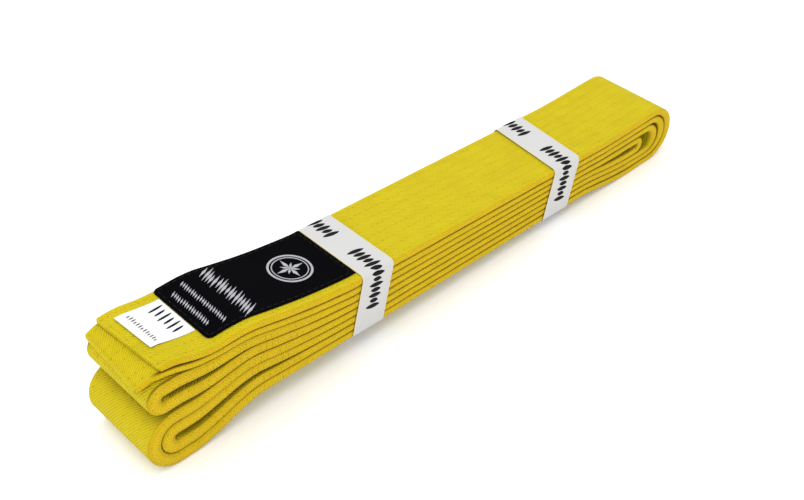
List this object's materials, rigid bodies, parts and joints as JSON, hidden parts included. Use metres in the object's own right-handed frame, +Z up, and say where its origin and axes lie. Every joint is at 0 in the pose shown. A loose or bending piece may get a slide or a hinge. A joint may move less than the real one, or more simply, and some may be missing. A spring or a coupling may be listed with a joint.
{
  "type": "martial arts belt",
  "caption": "Cotton martial arts belt folded flat into a long pack, with a woven label on one end, held by two paper bands.",
  "frame": {"origin": "on the surface that the pack lies on, under the middle of the pack's box", "axes": "+Z up, +X along the pack from the two free ends towards the end where every fold is nested, +Y across the belt"},
  "size_m": [0.3054, 0.042, 0.0501],
  "materials": {
    "belt_cotton": "matt twill",
    "core_canvas": "matt",
    "belt_thread": "matt",
    "woven_label": "satin",
    "label_thread": "satin",
    "silver_thread": "satin",
    "size_label": "satin",
    "band_paper": "coated paper",
    "band_glue": "glue film"
  },
  "bodies": {
    "bundle": {"belt_cover": "belt_cotton", "belt_core_ply_upper": "core_canvas", "belt_core_ply_lower": "core_canvas"},
    "plain_end": {"plain_end_cover": "belt_cotton", "plain_end_core_ply_upper": "core_canvas", "plain_end_core_ply_lower": "core_canvas", "plain_end_seam": "belt_thread"},
    "labelled_end": {"labelled_end_cover": "belt_cotton", "labelled_end_core_ply_upper": "core_canvas", "labelled_end_core_ply_lower": "core_canvas", "labelled_end_seam": "belt_thread", "woven_label": "woven_label", "woven_label_stitches": "label_thread", "emblem_embroidery": "silver_thread", "large_motif_row": "silver_thread", "small_motif_row_inner": "silver_thread", "small_motif_row_outer": "silver_thread"},
    "size_tab": {"size_label": "size_label"},
    "near_band": {"near_band_strip": "band_paper", "near_band_glue": "band_glue"},
    "far_band": {"far_band_strip": "band_paper", "far_band_glue": "band_glue"}
  },
  "joints": [
    {"name": "labelled_end_lift", "type": "hinge", "parent": "bundle", "child": "labelled_end", "pos_m": [-0.05125, 0, 0.03675], "axis": [0, 1, 0], "range_deg": [0, 70]},
    {"name": "plain_end_lift", "type": "hinge", "parent": "bundle", "child": "plain_end", "pos_m": [-0.05125, 0, 0.03315], "axis": [0, 1, 0], "range_deg": [0, 32]},
    {"name": "size_tab_flip", "type": "hinge", "parent": "labelled_end", "child": "size_tab", "pos_m": [-0.1193, 0, 0.04785], "axis": [0, 1, 0], "range_deg": [0, 150]},
    {"name": "near_band_slide", "type": "slide", "parent": "bundle", "child": "near_band", "axis": [0.9991, 0, -0.0418], "range_m": [0, 0.08]},
    {"name": "far_band_slide", "type": "slide", "parent": "bundle", "child": "far_band", "axis": [0.9991, 0, -0.0418], "range_m": [-0.012, 0]}
  ],
  "couplings": [
    {"joint": "plain_end_lift", "follows": "labelled_end_lift", "ratio": 0.45}
  ]
}
